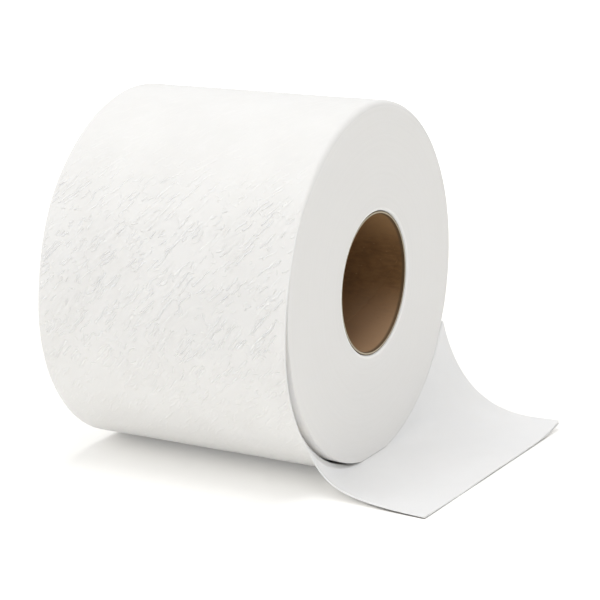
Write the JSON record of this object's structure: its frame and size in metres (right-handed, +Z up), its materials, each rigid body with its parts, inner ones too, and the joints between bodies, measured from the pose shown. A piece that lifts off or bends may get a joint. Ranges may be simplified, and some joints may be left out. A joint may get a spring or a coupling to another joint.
{
  "type": "toilet paper roll",
  "caption": "Roll of soft embossed white toilet paper on its side, wound on a cardboard core, with a slack last turn and the sheet's tail lying flat past the end.",
  "frame": {"origin": "middle of the core's bore", "axes": "+X along the core towards the end that the tail leaves by, +Y to the back, +Z up"},
  "size_m": [0.1362, 0.1224, 0.1205],
  "materials": {
    "tissue": "soft matte tissue with short raised strokes on its outside",
    "core_card": "raw brown cardboard, spiral wound"
  },
  "bodies": {
    "root": {"paper_roll": "tissue", "core_tube": "core_card"}
  },
  "joints": []
}
